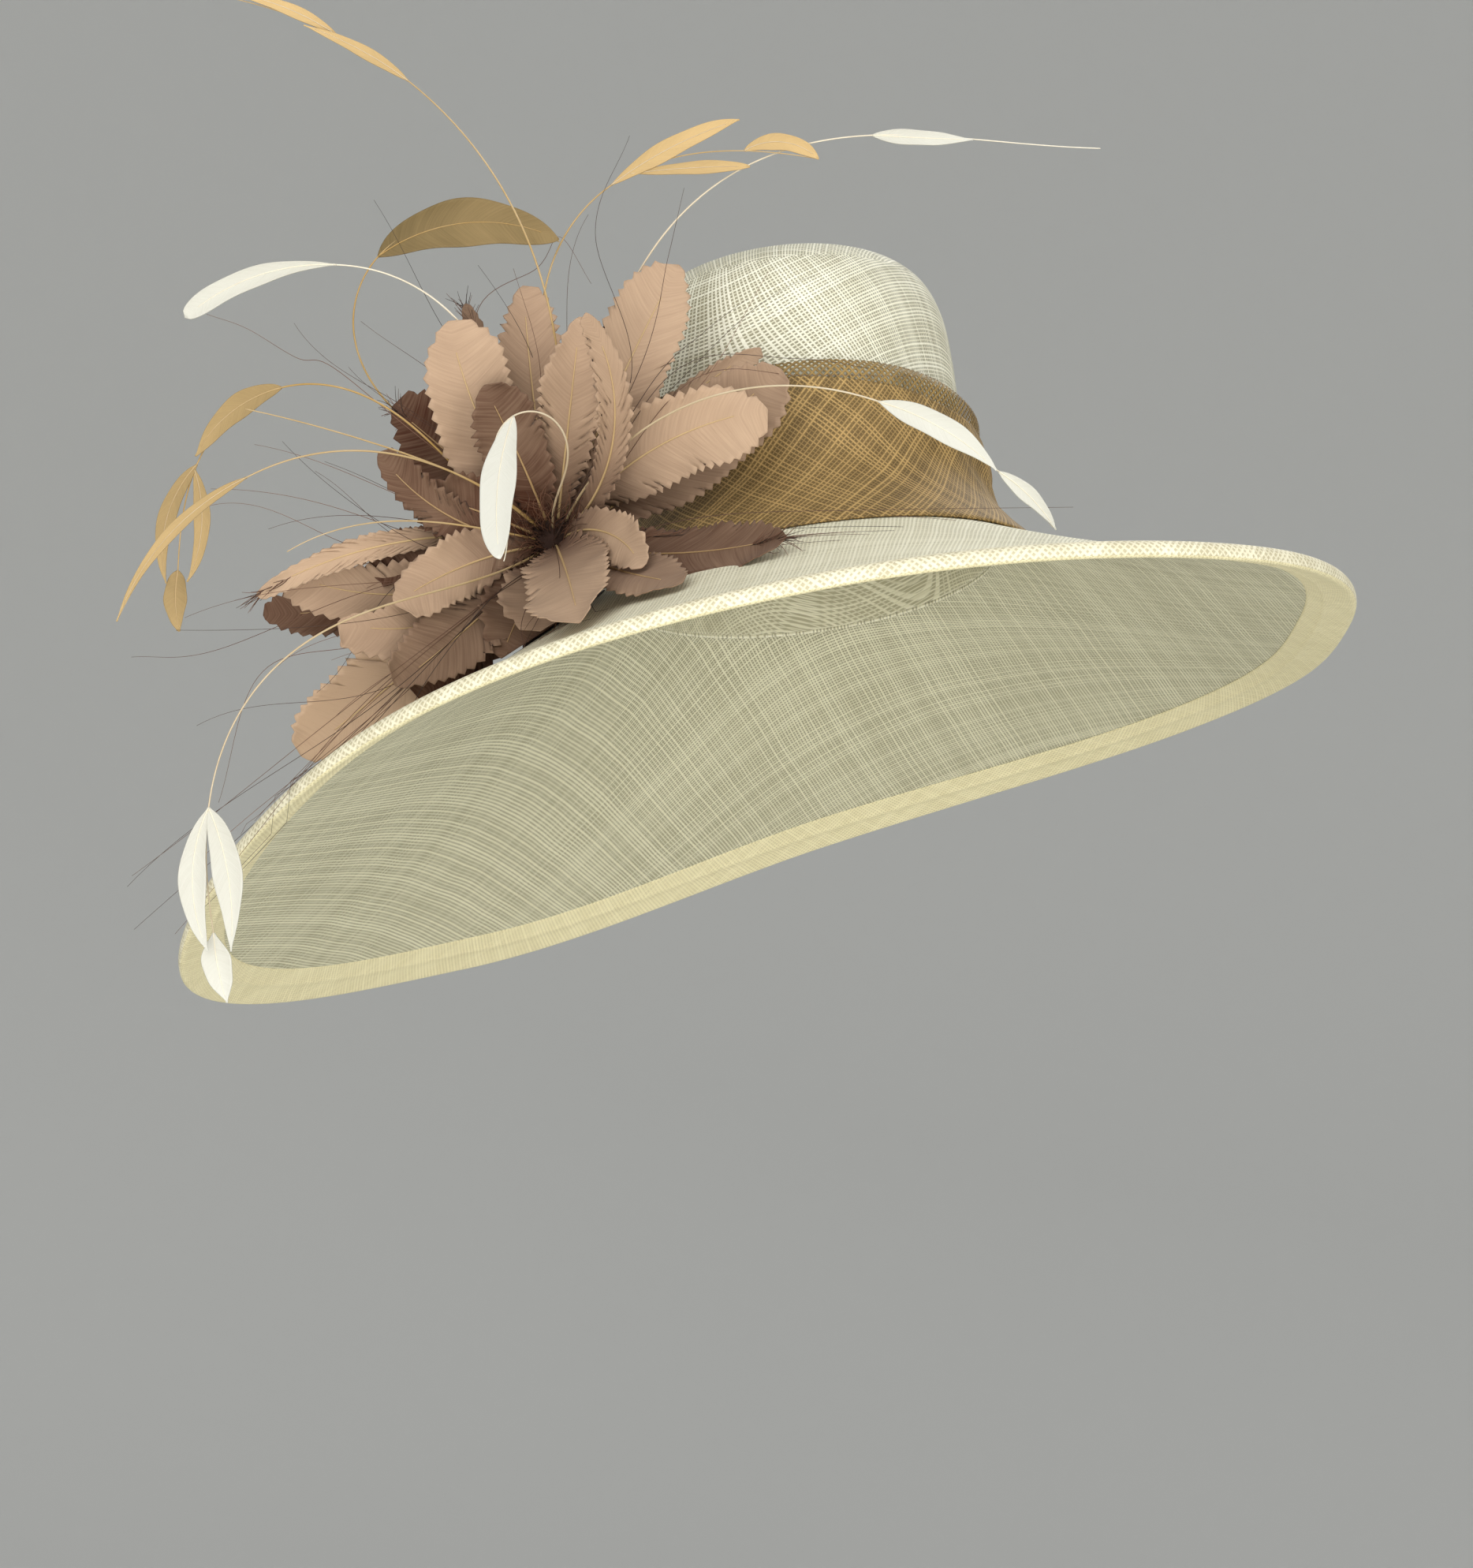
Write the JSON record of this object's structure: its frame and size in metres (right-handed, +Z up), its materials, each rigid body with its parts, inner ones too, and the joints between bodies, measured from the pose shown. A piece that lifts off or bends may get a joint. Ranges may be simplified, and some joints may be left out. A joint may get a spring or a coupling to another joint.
{
  "type": "church hat",
  "caption": "Wide-brimmed sinamay church hat with a deep oval crown, a flared bias sash, a bound rim and a feather flower that throws out long trimmed quills.",
  "frame": {"origin": "middle of the head opening at the seam of crown and brim, where the hat sits on the head", "axes": "the upright head's frame: +Z up, -Y the way the wearer faces, +X to the wearer's left; the hat is tilted in it as worn"},
  "size_m": [0.4715, 0.4316, 0.3846],
  "materials": {
    "ivory_sinamay": "open plain-woven banana-fibre straw, stiffened, satin",
    "ivory_binding": "bias strip of doubled woven straw, stiffened",
    "brown_sinamay": "bias-cut see-through woven straw sash",
    "dark_fibre": "bound dark feather fibre",
    "rose_feather": "dyed goose feather, matte, pinked edges",
    "white_feather": "bleached trimmed feather on a stripped quill",
    "tan_feather": "dyed trimmed feather on a stripped quill"
  },
  "bodies": {
    "root": {"crown": "ivory_sinamay", "brim": "ivory_sinamay", "brim_binding": "ivory_binding", "band": "brown_sinamay", "flower_head": "dark_fibre", "petal_up_left": "rose_feather", "petal_up": "rose_feather", "petal_up_folded": "rose_feather", "petal_up_right": "rose_feather", "petal_right": "rose_feather", "petal_right_under": "rose_feather", "petal_right_slim": "rose_feather", "petal_curled": "rose_feather", "petal_low_right": "rose_feather", "petal_low_under": "rose_feather", "petal_front": "rose_feather", "petal_left": "rose_feather", "petal_left_long": "rose_feather", "petal_left_low": "rose_feather", "petal_down_left": "rose_feather", "petal_left_dark": "rose_feather", "petal_left_pale": "rose_feather", "petal_inner_left": "rose_feather", "petal_inner_folded": "rose_feather", "petal_inner_low": "rose_feather", "petal_inner_up": "rose_feather", "petal_rolled": "rose_feather", "petal_top": "rose_feather", "quill_white_arch": "white_feather", "quill_tan_tall": "tan_feather", "quill_tan_leaf": "tan_feather", "quill_tan_forked": "tan_feather", "quill_white_long": "white_feather", "quill_white_hook": "white_feather", "quill_tan_cluster": "tan_feather", "quill_golden": "tan_feather", "quill_white_low": "white_feather", "quill_white_right": "white_feather", "quill_bare_upper": "tan_feather", "quill_bare_lower": "tan_feather"}
  },
  "joints": []
}
